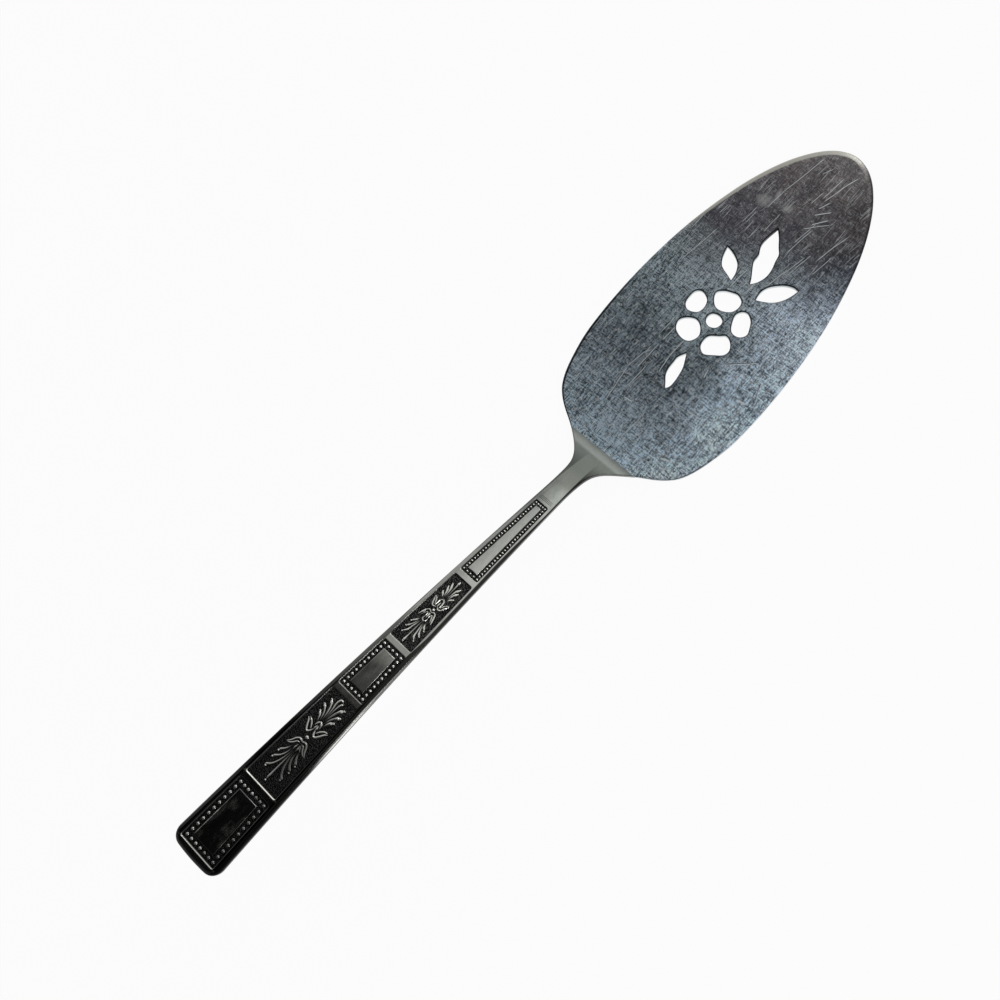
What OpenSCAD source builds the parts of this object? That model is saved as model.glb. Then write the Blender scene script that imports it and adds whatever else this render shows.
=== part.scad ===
// Pie server: a flat leaf-shaped blade with a pierced flower, and a cranked
// handle with five relief panels, all one piece of steel.
// Millimetres. +X to the tip, +Z up, blade lying on z = 0, and the origin
// under the middle of the overall length.

/* [Blade] */
// Length of the flat blade, from the heel bend to the tip
blade_l = 110.8; // [95:0.1:130]
// Greatest width of the blade
blade_w = 55.5; // [46:0.5:64]
// Thickness of the blade
blade_t = 1.6; // [1.4:0.1:2.2]
// Width of the bevelled rim round the blade
rim_w = 1.0; // [0.5:0.1:1.4]
// Width of that rim where it widens round the tip
tip_rim_w = 1.8; // [0.8:0.1:2.2]
// Drop of that rim at the very edge
rim_drop = 0.45; // [0.2:0.05:0.7]

/* [Neck] */
// Width of the neck where it is narrowest
neck_w = 6.2; // [5.5:0.1:8]
// Radius of the heel bend, on the top face
heel_r = 5; // [4:0.5:8]
// Steepest slope of the neck, just above the heel
heel_angle = 36; // [30:1:40]
// Radius in which the neck flattens out
neck_r = 60; // [45:1:75]
// Slope where the neck runs into the long arc of the handle
neck_angle = 19.3; // [17:0.1:22]

/* [Handle] */
// Length of neck and handle together, measured level
handle_l = 147.7; // [140:0.1:160]
// Width of the handle at its end
handle_w = 16.7; // [14:0.1:19]
// Thickness of neck and handle
handle_t = 2.0; // [1.8:0.1:2.6]
// Radius of the long arc of the handle, on the top face
arc_r = 775; // [650:5:1000]
// Corner radius at the end of the handle
end_r = 3.4; // [2:0.1:5]
// Radius in which the end of the handle bows out between its corners
bow_r = 60; // [40:5:200]
// Width of the bevel along the handle
bevel_w = 1.1; // [0.6:0.1:1.4]
// Drop of that bevel
bevel_drop = 0.8; // [0.4:0.05:1]

/* [Relief panels] */
// Depth of the panel floors below the handle's top face
relief = 0.45; // [0.25:0.05:0.6]
// Plain border between the end of the handle and the first panel
end_margin = 2.4; // [1.4:0.1:3]
// Plain border beside the panels at the wide end
side_wide = 2.1; // [1.5:0.1:2.4]
// Plain border beside the panels at the neck
side_narrow = 0.95; // [0.8:0.05:1.2]
// Width of the cross ridges between the panels
ridge_w = 1.7; // [1.2:0.1:2]
// Length of the beaded panel at the end
end_panel_l = 20; // [18:0.1:22]
// Length of the large palmette panel
large_palmette_l = 29.3; // [27:0.1:31]
// Length of the middle beaded panel
mid_panel_l = 15.8; // [14.5:0.1:17]
// Length of the small palmette panel
small_palmette_l = 22.9; // [21:0.1:24]
// Length of the beaded panel at the neck
neck_panel_l = 27.7; // [26:0.1:29]
// Depth of the three fine lines across the neck
line_depth = 0.15; // [0.05:0.05:0.3]

/* [Pierced flower] */
// Distance from the heel to the middle of the flower
flower_x = 49; // [44:0.5:54]
// Size of the flower and its leaves
flower_size = 1; // [0.85:0.01:1.1]

/* [Hidden] */
$fn = 96;
steel = [0.62, 0.64, 0.66];

// Side view: the centres of its arcs, and the points where they run together.
function dir(a) = [sin(a), cos(a)];
heel_c = [0, blade_t + heel_r];
neck_c = heel_c - (heel_r + neck_r) * dir(heel_angle);
arc_c = neck_c + (neck_r - arc_r) * dir(neck_angle);
heel_top = heel_c - heel_r * dir(heel_angle);
neck_top = neck_c + neck_r * dir(neck_angle);
// The underside's own heel bend touches both the blade's flat and the neck.
under_b = neck_r - handle_t;
under_r = (pow(neck_c.x, 2) + pow(neck_c.y, 2) - pow(under_b, 2)) / (2 * (under_b + neck_c.y));
under_c = [0, under_r];
under_a = atan2(-neck_c.x, under_r - neck_c.y);
heel_under = neck_c + under_b * dir(under_a);

function top_z(x) =
    x > 0 ? blade_t :
    x > heel_top.x ? heel_c.y - sqrt(pow(heel_r, 2) - x * x) :
    x > neck_top.x ? neck_c.y + sqrt(pow(neck_r, 2) - pow(x - neck_c.x, 2)) :
    arc_c.y + sqrt(pow(arc_r, 2) - pow(x - arc_c.x, 2));
function top_a(x) =
    x > 0 ? 0 :
    x > heel_top.x ? asin(-x / heel_r) :
    x > neck_top.x ? asin((x - neck_c.x) / neck_r) :
    asin((x - arc_c.x) / arc_r);

// Curves through a few points. The first and last points only steer.
function between(a, b, c, d, t) =
    b + 0.5 * t * (c - a + t * (2 * a - 5 * b + 4 * c - d + t * (3 * b - a - 3 * c + d)));
function curve(p, n) = [
    for (i = [1 : len(p) - 3], k = [0 : n - 1])
        between(p[i - 1], p[i], p[i + 1], p[i + 2], k / n)
];
function loop(p, n) = [
    for (i = [0 : len(p) - 1], k = [0 : n - 1])
        between(p[(i + len(p) - 1) % len(p)], p[i], p[(i + 1) % len(p)], p[(i + 2) % len(p)], k / n)
];
function steered(p) = concat([2 * p[0] - p[1]], p, [2 * p[len(p) - 1] - p[len(p) - 2]]);
function reversed(p) = [for (i = [len(p) - 1 : -1 : 0]) p[i]];

// Plan view: half of the outline, from the tip back to the end of the handle.
// The blade's rows are shares of its length and half width, measured off the
// object; the neck's rows hold the narrow neck until it flares to the blade.
blade_rows = [
    [0.991, -0.153], [1, 0], [0.991, 0.153], [0.969, 0.29], [0.935, 0.418], [0.89, 0.54],
    [0.832, 0.655], [0.76, 0.761], [0.66, 0.867], [0.56, 0.94], [0.45, 0.985], [0.353, 1],
    [0.27, 0.993], [0.2, 0.967], [0.122, 0.894], [0.077, 0.82], [0.05, 0.735], [0.027, 0.617],
    [0, 0.437]
];
neck_x = -18;
neck_rows = [
    [-4, neck_w / 2 + 3.75], [-7, neck_w / 2 + 1.25], [-10, neck_w / 2 + 0.3],
    [-14, neck_w / 2], [neck_x, neck_w / 2], [neck_x - 4, neck_w / 2 + 0.1]
];
function side_y(x) = neck_w / 2 + (handle_w - neck_w) / 2 * (neck_x - x) / (neck_x + handle_l);
taper = atan((handle_w - neck_w) / 2 / (neck_x + handle_l));
// Each corner's circle touches the side and, from inside, the bowed end.
bow_x = bow_r - handle_l;
function corner(n) = n == 0 ? [end_r - handle_l, handle_w / 2 - end_r] :
    let (c = corner(n - 1), x = bow_x - sqrt(pow(bow_r - end_r, 2) - c.y * c.y))
    [x, side_y(x) - end_r / cos(taper)];
end_c = corner(3);
bow_a = atan2(end_c.y, bow_x - end_c.x);
half_outline = concat(
    curve(concat([for (r = blade_rows) [r.x * blade_l, r.y * blade_w / 2]], neck_rows), 3),
    [for (i = [0 : 11]) let (x = neck_x + (end_c.x - neck_x) * i / 12) [x, side_y(x)]],
    [for (i = [0 : 6]) let (a = 90 - taper + (90 + taper - bow_a) * i / 6)
        [end_c.x + end_r * cos(a), end_c.y + end_r * sin(a)]],
    [for (i = [1 : 3]) let (a = bow_a * (1 - i / 3)) [bow_x - bow_r * cos(a), bow_r * sin(a)]]
);
outline = concat(
    half_outline,
    [for (i = [len(half_outline) - 2 : -1 : 1]) [half_outline[i].x, -half_outline[i].y]]
);

// Where the panels lie along the handle, each as [end, start] measured from the heel.
panel_l = [end_panel_l, large_palmette_l, mid_panel_l, small_palmette_l, neck_panel_l];
function panel_x(i) = i == 0 ? end_margin - handle_l : panel_x(i - 1) + panel_l[i - 1] + ridge_w;
function panel_y(x) =
    side_y(x) - side_narrow - (side_wide - side_narrow) * (neck_x - x) / (neck_x + handle_l);

module side_view() {
    e = (heel_top - heel_under) / norm(heel_top - heel_under);
    square([blade_l + 1, blade_t]);
    difference() {
        intersection() {
            translate(under_c) circle(under_r);
            polygon([heel_top + 3 * e, heel_under - 3 * e, [0, -1], [0, heel_c.y]]);
        }
        translate(heel_c) circle(heel_r);
    }
    difference() {
        intersection() {
            translate(neck_c) circle(neck_r, $fn = 256);
            polygon([
                neck_c + (neck_r + 3) * dir(neck_angle),
                neck_c + (under_b - 4) * dir(neck_angle),
                heel_under - 3 * e,
                heel_top + 3 * e
            ]);
        }
        translate(neck_c) circle(under_b, $fn = 256);
    }
    difference() {
        intersection() {
            translate(arc_c) circle(arc_r, $fn = 720);
            polygon([arc_c, arc_c + 1.1 * arc_r * dir(neck_angle), arc_c + 1.1 * arc_r * dir(0)]);
        }
        translate(arc_c) circle(arc_r - handle_t, $fn = 720);
    }
}

// A three-cornered band that runs round the whole outline and, taken away,
// leaves the bevel: wide on the handle, narrow on the neck, low on the blade.
function share(x, from, to) = max(0, min(1, (x - from) / (to - from)));
function bevel_at(x) =
    let (neck = [0.35, 0.3])
    x < 0 ? neck + ([bevel_w, bevel_drop] - neck) * share(x, neck_x, neck_x - 45) :
    let (w = rim_w + (tip_rim_w - rim_w) * share(x, 0.55 * blade_l, 0.88 * blade_l))
    neck + ([w, rim_drop] - neck) * share(x, 2, 30);
function outward(i) =
    let (n = len(outline), d = outline[(i + 1) % n] - outline[(i + n - 1) % n])
    [d.y, -d.x] / norm(d);
function over(p, h) = [p.x + h * sin(top_a(p.x)), p.y, top_z(p.x) + h * cos(top_a(p.x))];
band = [
    for (i = [0 : len(outline) - 1])
        let (p = outline[i], n = outward(i), b = bevel_at(p.x))
        each [
            over(p + 0.6 * b.x * n, -1.6 * b.y),
            over(p + 0.6 * b.x * n, 0.6 * b.y),
            over(p - 1.6 * b.x * n, 0.6 * b.y)
        ]
];

module edge_band() {
    n = len(outline);
    polyhedron(band, [
        for (i = [0 : n - 1], k = [0 : 2])
            let (j = (i + 1) % n, m = (k + 1) % 3)
            each [
                [3 * i + k, 3 * i + m, 3 * j + m],
                [3 * i + k, 3 * j + m, 3 * j + k]
            ]
    ], convexity = 6);
}

module blank() {
    difference() {
        intersection() {
            rotate([90, 0, 0]) linear_extrude(blade_w + 2, center = true, convexity = 6) side_view();
            translate([0, 0, -1]) linear_extrude(80, convexity = 6) polygon(outline);
        }
        edge_band();
    }
}

// The pierced flower: five petals round a small hole, and four leaves. Each
// leaf has an upper and a lower edge that meet in points.
petals = [
    [[-0.2, 2.4], [1.3, 1.8], [1.9, 0.1], [1.4, -1.6], [0.1, -2.2], [-1.5, -1.6], [-2.3, 0.1], [-1.7, 1.8]],
    [[-6.1, 8.2], [-4, 6.9], [-2.8, 4.4], [-3.8, 2.1], [-6.2, 0.6], [-8.8, 1.6], [-9.6, 3.9], [-8.5, 7]],
    [[-2, 8.2], [-0.8, 10], [1.3, 10.4], [3.6, 10.1], [4.7, 8.3], [3.6, 5.8], [1.2, 4.9], [-1, 5.6]],
    [[6.9, 5.1], [8.5, 3.6], [9.4, 1.5], [9.8, -0.4], [8.9, -2.3], [7.1, -2.9], [4.9, -2.2], [3.5, 0],
        [3.3, 2.3], [4.9, 4.3]],
    [[4.6, -3.6], [6.6, -4.5], [7.1, -6.2], [5.9, -8.1], [3.9, -9.3], [2, -9.9], [0.3, -8.7], [0, -6.5],
        [1.4, -4.9]],
    [[-6.4, -1.3], [-4.4, -1.8], [-2.7, -4.1], [-1.6, -5.6], [-2.4, -7.6], [-4.4, -9], [-6.4, -8.6],
        [-8.1, -6.4], [-9.5, -3.9], [-8.4, -1.9]]
];
leaves = [
    [
        [[14.3, -0.9], [16.2, 0.1], [18.3, 1.5], [20.4, 2.7], [22.8, 2.9], [24.7, 3.9], [26.5, 4.3],
            [29, 4.1], [32, 3.6]],
        [[14.3, -0.9], [16.2, -2.3], [18.8, -3.1], [21.4, -2.9], [23.7, -2.2], [26, -1.6], [28, 0.1],
            [30.3, 1.9], [32, 3.6]]
    ],
    [
        [[-23.9, -1.9], [-22.5, -0.9], [-20.7, 0.5], [-18.8, 1.1], [-16.5, 1.2], [-14.6, 1.2], [-12.2, 0]],
        [[-23.9, -1.9], [-22.9, -2.6], [-21.4, -2.8], [-19, -2.6], [-16.2, -2], [-14.1, -1], [-12.2, 0]]
    ],
    [
        [[12.1, 4.1], [12.8, 6], [13.6, 8.3], [14.5, 9.5], [16.3, 10.6], [19.5, 11.6]],
        [[12.1, 4.1], [14.5, 4.5], [16.8, 5.7], [18.2, 7.6], [19.1, 9.8], [19.5, 11.6]]
    ],
    [
        [[11.6, -5.2], [13, -4.9], [14.8, -4.9], [16.7, -5.7], [18.6, -7.4], [20, -9.3], [20.7, -11.3],
            [20.6, -12.9]],
        [[11.6, -5.2], [12.2, -6.7], [13.2, -8.6], [14.6, -10.3], [16.5, -11.6], [18.5, -12.4],
            [20.6, -12.9]]
    ]
];
module flower() {
    translate([flower_x, 0, -1]) linear_extrude(blade_t + 2, convexity = 6) {
        for (p = petals) polygon(flower_size * loop(p, 3));
        for (l = leaves) {
            above = curve(steered(l[0]), 3);
            below = curve(steered(reversed(l[1])), 3);
            polygon(flower_size * concat(above, below));
        }
    }
}

// What stands on the floors of the beaded panels: a flat plaque, and a single
// row of beads all round it. The lane is the strip that the beads lie in.
module plaque(i, lane) {
    x0 = panel_x(i) + lane;
    x1 = panel_x(i) + panel_l[i] - lane;
    y0 = panel_y(x0) - lane;
    y1 = panel_y(x1) - lane;
    polygon([[x0, y0], [x0, -y0], [x1, -y1], [x1, y1]]);
}
module bead(x, y, r) {
    a = asin((x - arc_c.x) / arc_r);
    to_middle = min(arc_r - relief - 0.03, arc_r - r - 0.04);
    translate([arc_c.x + to_middle * sin(a), y, arc_c.y + to_middle * cos(a)])
        rotate([0, a, 0]) sphere(r, $fn = 24);
}
module beads(i, lane, long, left, right, r) {
    x0 = panel_x(i) + lane / 2;
    x1 = panel_x(i) + panel_l[i] - lane / 2;
    y0 = panel_y(x0) - lane / 2;
    y1 = panel_y(x1) - lane / 2;
    for (k = [0 : long - 1], s = [-1, 1]) {
        x = x0 + (x1 - x0) * k / (long - 1);
        bead(x, s * (panel_y(x) - lane / 2), r);
    }
    for (k = [1 : left - 2]) bead(x0, y0 * (1 - 2 * k / (left - 1)), r);
    for (k = [1 : right - 2]) bead(x1, y1 * (1 - 2 * k / (right - 1)), r);
}

// One stroke of a palmette: a curved rib through a, b, c that swells from w0
// to w1 and has a round end.
function bend(a, b, c, t) = (1 - t) * (1 - t) * a + 2 * t * (1 - t) * b + t * t * c;
function heading(a, b, c, t) = let (d = (1 - t) * (b - a) + t * (c - b)) d / norm(d);
function rib(a, b, c, w0, w1, n = 5) = concat(
    [for (i = [0 : n]) let (t = i / n, d = heading(a, b, c, t), w = w0 + (w1 - w0) * t)
        bend(a, b, c, t) + w / 2 * [-d.y, d.x]],
    [for (k = [1 : 3]) let (d = heading(a, b, c, 1), g = 90 - 45 * k)
        c + w1 / 2 * (cos(g) * d + sin(g) * [-d.y, d.x])],
    [for (i = [n : -1 : 0]) let (t = i / n, d = heading(a, b, c, t), w = w0 + (w1 - w0) * t)
        bend(a, b, c, t) - w / 2 * [-d.y, d.x]]
);
// Half of one fan, in shares of its length and of the panel's half height.
fan = [
    [[0.34, 0.02], [0.6, 0.02], [0.9, 0.06]],
    [[0.32, 0.1], [0.6, 0.16], [0.76, 0.5]],
    [[0.3, 0.18], [0.48, 0.26], [0.6, 0.62]],
    [[0.28, 0.28], [0.36, 0.34], [0.45, 0.62]],
    [[0.12, 0.1], [0, 0.42], [0.28, 0.7]],
    [[0.13, 0.04], [0.2, 0.34], [0.34, 0.02]]
];
module palmette(i, ball, w) {
    xm = panel_x(i) + ball * panel_l[i];
    for (s = [-1, 1], m = [-1, 1]) {
        l = s < 0 ? xm - panel_x(i) : panel_x(i) + panel_l[i] - xm;
        h = panel_y(xm + s * l / 2);
        for (f = fan) {
            q = [for (p = f) [xm + s * l * p.x, m * h * p.y]];
            polygon(rib(q[0], q[1], q[2], 0.55 * w, w));
        }
    }
    translate([xm, 0]) circle(0.9 * w);
}

module panel(i) {
    x0 = panel_x(i);
    x1 = x0 + panel_l[i];
    r = 0.5;
    y0 = panel_y(x0);
    y1 = panel_y(x1);
    polygon([
        [x0, y0 - r], [x0, r - y0], [x0 + r, -y0], [x1 - r, -y1],
        [x1, r - y1], [x1, y1 - r], [x1 - r, y1], [x0 + r, y0]
    ]);
}

// One panel's hollow: its outline less all that stands in it, down to a floor
// that follows the handle's arc.
module along_arc(r) {
    translate([arc_c.x, 0, arc_c.y]) rotate([90, 0, 0])
        cylinder(h = 2 * handle_w, r = r, center = true, $fn = 720);
}
module beaded_panel(i, lane, long, left, right, r) {
    difference() {
        translate([0, 0, 1]) linear_extrude(62, convexity = 6) difference() {
            panel(i);
            plaque(i, lane);
        }
        along_arc(arc_r - relief);
        beads(i, lane, long, left, right, r);
    }
}
module palmette_panel(i, ball, w) {
    difference() {
        translate([0, 0, 1]) linear_extrude(62, convexity = 6) difference() {
            panel(i);
            palmette(i, ball, w);
        }
        along_arc(arc_r - relief);
    }
}
module neck_lines() {
    difference() {
        for (x = [-20.9, -21.5, -22.1])
            translate([x - 0.12, -1.9, 0]) cube([0.24, 3.8, 30]);
        along_arc(arc_r - line_depth);
    }
}

module pie_server() {
    color(steel)
        translate([(handle_l - blade_l) / 2, 0, 0])
            difference() {
                blank();
                flower();
                beaded_panel(0, 2.3, 11, 7, 7, 0.6);
                palmette_panel(1, 0.55, 0.75);
                beaded_panel(2, 1.95, 11, 6, 5, 0.5);
                palmette_panel(3, 0.52, 0.55);
                beaded_panel(4, 1.45, 28, 5, 5, 0.34);
                neck_lines();
            }
}

pie_server();
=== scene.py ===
import math

import bpy
from mathutils import Matrix, Vector


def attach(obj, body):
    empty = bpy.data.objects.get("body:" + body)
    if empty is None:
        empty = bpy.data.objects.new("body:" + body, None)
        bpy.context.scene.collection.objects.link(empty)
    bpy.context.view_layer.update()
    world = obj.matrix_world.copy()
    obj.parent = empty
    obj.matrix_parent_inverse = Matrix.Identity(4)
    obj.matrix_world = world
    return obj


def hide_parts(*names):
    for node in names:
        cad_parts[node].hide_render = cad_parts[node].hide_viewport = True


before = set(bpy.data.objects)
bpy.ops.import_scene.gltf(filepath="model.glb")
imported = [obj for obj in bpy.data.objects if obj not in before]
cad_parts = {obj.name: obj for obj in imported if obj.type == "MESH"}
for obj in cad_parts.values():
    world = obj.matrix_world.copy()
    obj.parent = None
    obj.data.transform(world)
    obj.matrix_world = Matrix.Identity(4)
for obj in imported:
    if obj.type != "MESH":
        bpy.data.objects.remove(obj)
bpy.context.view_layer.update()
mm = 0.001
mergeWithin = 0.0005  # millimetres
print("frame loaded:", sorted(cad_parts))

# Lengths in millimetres from the heel bend, +x to the tip, as in the part.
plate = {
    "bladeLength": 110.8, "bladeWidth": 55.5, "bladeThick": 1.6,
    "rimWidth": 1.0, "tipRimWidth": 1.8, "rimDrop": 0.45, "rimRun": 11,
    "neckWidth": 6.2, "neckX": -18,
    "heelRadius": 5, "heelAngle": 36, "neckRadius": 60, "neckAngle": 19.3,
    "handleLength": 147.7, "handleWidth": 16.7, "handleThick": 2.0, "arcRadius": 775,
    "endRadius": 3.4, "bowRadius": 60, "bevelWidth": 1.1, "bevelDrop": 0.8,
    "neckBevel": (0.35, 0.3), "bevelRun": 45,
}
heelShift = (plate["handleLength"] - plate["bladeLength"]) / 2
handleRun = plate["neckX"] + plate["handleLength"]  # from the neck to the handle's end
handleGrow = (plate["handleWidth"] - plate["neckWidth"]) / 2


def arm(angle):
    return Vector((math.sin(math.radians(angle)), math.cos(math.radians(angle))))


heelMid = Vector((0, plate["bladeThick"] + plate["heelRadius"]))
neckMid = heelMid - (plate["heelRadius"] + plate["neckRadius"]) * arm(plate["heelAngle"])
arcMid = neckMid + (plate["neckRadius"] - plate["arcRadius"]) * arm(plate["neckAngle"])
heelTop = heelMid - plate["heelRadius"] * arm(plate["heelAngle"])
neckTop = neckMid + plate["neckRadius"] * arm(plate["neckAngle"])
underNeck = plate["neckRadius"] - plate["handleThick"]
underHeel = (neckMid.x ** 2 + neckMid.y ** 2 - underNeck ** 2) / (2 * (underNeck + neckMid.y))
underTurn = math.degrees(math.atan2(-neckMid.x, underHeel - neckMid.y))
heelUnder = neckMid + underNeck * arm(underTurn)


def hump(middle, radius, x):
    return middle.y + math.sqrt(max(radius ** 2 - (x - middle.x) ** 2, 0))


def topHeight(x):
    if x > 0:
        return plate["bladeThick"]
    if x > heelTop.x:
        return heelMid.y - math.sqrt(plate["heelRadius"] ** 2 - x * x)
    if x > neckTop.x:
        return hump(neckMid, plate["neckRadius"], x)
    return hump(arcMid, plate["arcRadius"], x)


def topSlope(x):
    if x > 0:
        return 0
    if x > heelTop.x:
        return math.asin(-x / plate["heelRadius"])
    if x > neckTop.x:
        return math.asin((x - neckMid.x) / plate["neckRadius"])
    return math.asin((x - arcMid.x) / plate["arcRadius"])


def underHeight(x):
    if x > 0:
        return 0
    if x > heelUnder.x:
        return underHeel - math.sqrt(underHeel ** 2 - x * x)
    if x > neckMid.x + underNeck * arm(plate["neckAngle"]).x:
        return hump(neckMid, underNeck, x)
    return hump(arcMid, plate["arcRadius"] - plate["handleThick"], x)


def between(a, b, c, d, t):
    return tuple(
        q + 0.5 * t * (r - p + t * (2 * p - 5 * q + 4 * r - s + t * (3 * q - p - 3 * r + s)))
        for p, q, r, s in zip(a, b, c, d)
    )


def openCurve(points, steps):
    return [
        between(*points[i - 1:i + 3], k / steps)
        for i in range(1, len(points) - 2) for k in range(steps)
    ]


def closedCurve(points, steps):
    n = len(points)
    return [
        between(points[i - 1], points[i], points[(i + 1) % n], points[(i + 2) % n], k / steps)
        for i in range(n) for k in range(steps)
    ]


def steered(points):
    first = tuple(2 * a - b for a, b in zip(points[0], points[1]))
    last = tuple(2 * a - b for a, b in zip(points[-1], points[-2]))
    return [first, *points, last]


def sideY(x):
    return plate["neckWidth"] / 2 + handleGrow * (plate["neckX"] - x) / handleRun


# Plan view: half of the outline, from the tip back to the end of the handle.
bladeRows = [
    (0.991, -0.153), (1, 0), (0.991, 0.153), (0.969, 0.29), (0.935, 0.418), (0.89, 0.54),
    (0.832, 0.655), (0.76, 0.761), (0.66, 0.867), (0.56, 0.94), (0.45, 0.985), (0.353, 1),
    (0.27, 0.993), (0.2, 0.967), (0.122, 0.894), (0.077, 0.82), (0.05, 0.735), (0.027, 0.617),
    (0, 0.437),
]
neckRows = [(-4, 3.75), (-7, 1.25), (-10, 0.3), (-14, 0), (-18, 0), (-22, 0.1)]
halfWay = openCurve(
    [(a * plate["bladeLength"], b * plate["bladeWidth"] / 2) for a, b in bladeRows]
    + [(a, plate["neckWidth"] / 2 + b) for a, b in neckRows], 5)
taper = math.atan(handleGrow / handleRun)
bowX = plate["bowRadius"] - plate["handleLength"]  # the end bows out between two corner circles
cornerX = plate["endRadius"] - plate["handleLength"]
cornerY = plate["handleWidth"] / 2 - plate["endRadius"]
for i in range(3):
    cornerX = bowX - math.sqrt((plate["bowRadius"] - plate["endRadius"]) ** 2 - cornerY ** 2)
    cornerY = sideY(cornerX) - plate["endRadius"] / math.cos(taper)
bowAngle = math.atan2(cornerY, bowX - cornerX)
for i in range(40):
    x = plate["neckX"] + (cornerX - plate["neckX"]) * i / 40
    halfWay.append((x, sideY(x)))
for i in range(9):
    a = math.pi / 2 - taper + (math.pi / 2 + taper - bowAngle) * i / 8
    halfWay.append((cornerX + plate["endRadius"] * math.cos(a), cornerY + plate["endRadius"] * math.sin(a)))
for i in range(1, 5):
    a = bowAngle * (1 - i / 5)
    halfWay.append((bowX - plate["bowRadius"] * math.cos(a), plate["bowRadius"] * math.sin(a)))
outline = halfWay + [(-plate["handleLength"], 0)] + [(x, -y) for x, y in reversed(halfWay[1:])]


def outward(points, i):
    a, b = points[i - 1], points[(i + 1) % len(points)]
    d = Vector((b[1] - a[1], a[0] - b[0]))
    return d.normalized()


def grown(points, amount):  # each point moved out by an amount, or by a function of its x
    made = []
    for i, p in enumerate(points):
        n = outward(points, i)
        a = amount(p[0]) if callable(amount) else amount
        made.append((p[0] + a * n.x, p[1] + a * n.y))
    return made


def facing(points):  # the same loop, anticlockwise
    area = sum(a[0] * b[1] - b[0] * a[1] for a, b in zip(points, points[1:] + points[:1]))
    return points if area > 0 else points[::-1]


outline = facing(outline)


def share(x, start, end):
    return max(0, min(1, (x - start) / (end - start)))


def bevelAt(x):  # its width and drop
    neck = Vector(plate["neckBevel"])
    if x < 0:
        side = Vector((plate["bevelWidth"], plate["bevelDrop"]))
        return neck.lerp(side, share(x, plate["neckX"], plate["neckX"] - plate["bevelRun"]))
    tip = share(x, 0.55 * plate["bladeLength"], 0.88 * plate["bladeLength"])
    wide = plate["rimWidth"] + (plate["tipRimWidth"] - plate["rimWidth"]) * tip
    return neck.lerp(Vector((wide, plate["rimDrop"])), share(x, 0, plate["rimRun"]))


def onlySelect(ob):
    if bpy.context.object and bpy.context.object.mode != "OBJECT":
        bpy.ops.object.mode_set(mode="OBJECT")
    bpy.ops.object.select_all(action="DESELECT")
    ob.select_set(True)
    bpy.context.view_layer.objects.active = ob


def joined(obs, name):
    onlySelect(obs[0])
    for ob in obs:
        ob.select_set(True)
    bpy.ops.object.join()
    obs[0].name = name
    return obs[0]


def placed(points, depth):  # in space: the depth may be a function of x
    return [(p[0], p[1], -(depth(p[0]) if callable(depth) else depth)) for p in points]


def drawnLoop(points, depth):
    bpy.ops.object.select_all(action="DESELECT")
    bpy.ops.mesh.primitive_circle_add(vertices=len(points), radius=1, fill_type="NOTHING")
    ob = bpy.context.object
    ob.data.vertices.foreach_set("co", [c for p in placed(points, depth) for c in p])
    return ob


def editLastRing(ob, size):  # edit mode, with the points made last selected
    onlySelect(ob)
    first = len(ob.data.vertices) - size
    for v in ob.data.vertices:
        v.select = v.index >= first
    for e in ob.data.edges:
        e.select = min(e.vertices) >= first
    for f in ob.data.polygons:
        f.select = False
    bpy.ops.object.mode_set(mode="EDIT")
    bpy.ops.mesh.select_mode(type="EDGE")


# Draws a loop, then extrudes it again and again and sets each new loop in its
# place. Each of the loops is its points and their depth.
def loftedLoops(loops, cap=False):
    ob = drawnLoop(*loops[0])
    ring = list(range(len(loops[0][0])))
    for loop in loops[1:]:
        old = len(ob.data.vertices)
        editLastRing(ob, len(ring))
        bpy.ops.mesh.extrude_region_move()
        bpy.ops.object.mode_set(mode="OBJECT")
        spots = ob.data.vertices
        found = {tuple(spots[k].co): k for k in range(old, old + len(ring))}
        ring = [found[tuple(spots[k].co)] for k in ring]
        for k, p in zip(ring, placed(*loop)):
            spots[k].co = p
    if cap:
        editLastRing(ob, len(ring))
        bpy.ops.mesh.fill()
        bpy.ops.object.mode_set(mode="OBJECT")
    return ob


def filledSheet(loops, depth):
    ob = joined([drawnLoop(points, depth) for points in loops], "sheet")
    bpy.ops.object.mode_set(mode="EDIT")
    bpy.ops.mesh.select_all(action="SELECT")
    bpy.ops.mesh.fill()
    bpy.ops.object.mode_set(mode="OBJECT")
    return ob


flower = {"middle": 49, "coin": 0.42, "size": 1}
petals = [
    [(-0.2, 2.4), (1.3, 1.8), (1.9, 0.1), (1.4, -1.6), (0.1, -2.2), (-1.5, -1.6), (-2.3, 0.1), (-1.7, 1.8)],
    [(-6.1, 8.2), (-4, 6.9), (-2.8, 4.4), (-3.8, 2.1), (-6.2, 0.6), (-8.8, 1.6), (-9.6, 3.9), (-8.5, 7)],
    [(-2, 8.2), (-0.8, 10), (1.3, 10.4), (3.6, 10.1), (4.7, 8.3), (3.6, 5.8), (1.2, 4.9), (-1, 5.6)],
    [(6.9, 5.1), (8.5, 3.6), (9.4, 1.5), (9.8, -0.4), (8.9, -2.3), (7.1, -2.9), (4.9, -2.2), (3.5, 0),
     (3.3, 2.3), (4.9, 4.3)],
    [(4.6, -3.6), (6.6, -4.5), (7.1, -6.2), (5.9, -8.1), (3.9, -9.3), (2, -9.9), (0.3, -8.7), (0, -6.5),
     (1.4, -4.9)],
    [(-6.4, -1.3), (-4.4, -1.8), (-2.7, -4.1), (-1.6, -5.6), (-2.4, -7.6), (-4.4, -9), (-6.4, -8.6),
     (-8.1, -6.4), (-9.5, -3.9), (-8.4, -1.9)],
]
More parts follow.
